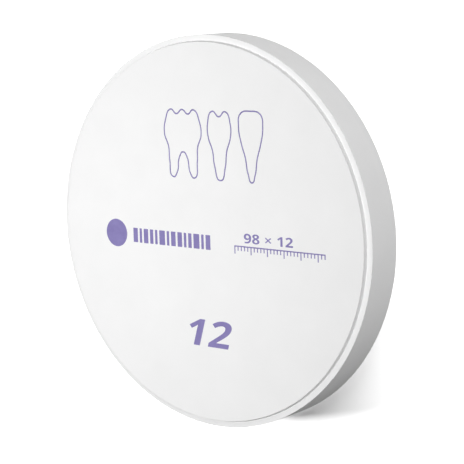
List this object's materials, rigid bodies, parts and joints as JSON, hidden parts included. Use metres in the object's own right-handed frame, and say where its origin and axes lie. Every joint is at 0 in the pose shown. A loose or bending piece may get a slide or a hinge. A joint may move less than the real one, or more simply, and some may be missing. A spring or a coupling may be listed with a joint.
{
  "type": "dental milling disc",
  "caption": "Round white ceramic milling blank for dental work, with a thick clamping collar and a low boss on each face.",
  "frame": {"origin": "centre of the back face, on which the disc lies", "axes": "+Z along the disc's turning axis, out of the printed front face; +X to the right and +Y to the top of the printed face"},
  "size_m": [0.098, 0.098, 0.012],
  "materials": {
    "ceramic": "matte, pressed and turned, unglazed",
    "ink": "thin matte printed ink"
  },
  "bodies": {
    "root": {"milling_disc": "ceramic"}
  },
  "joints": []
}
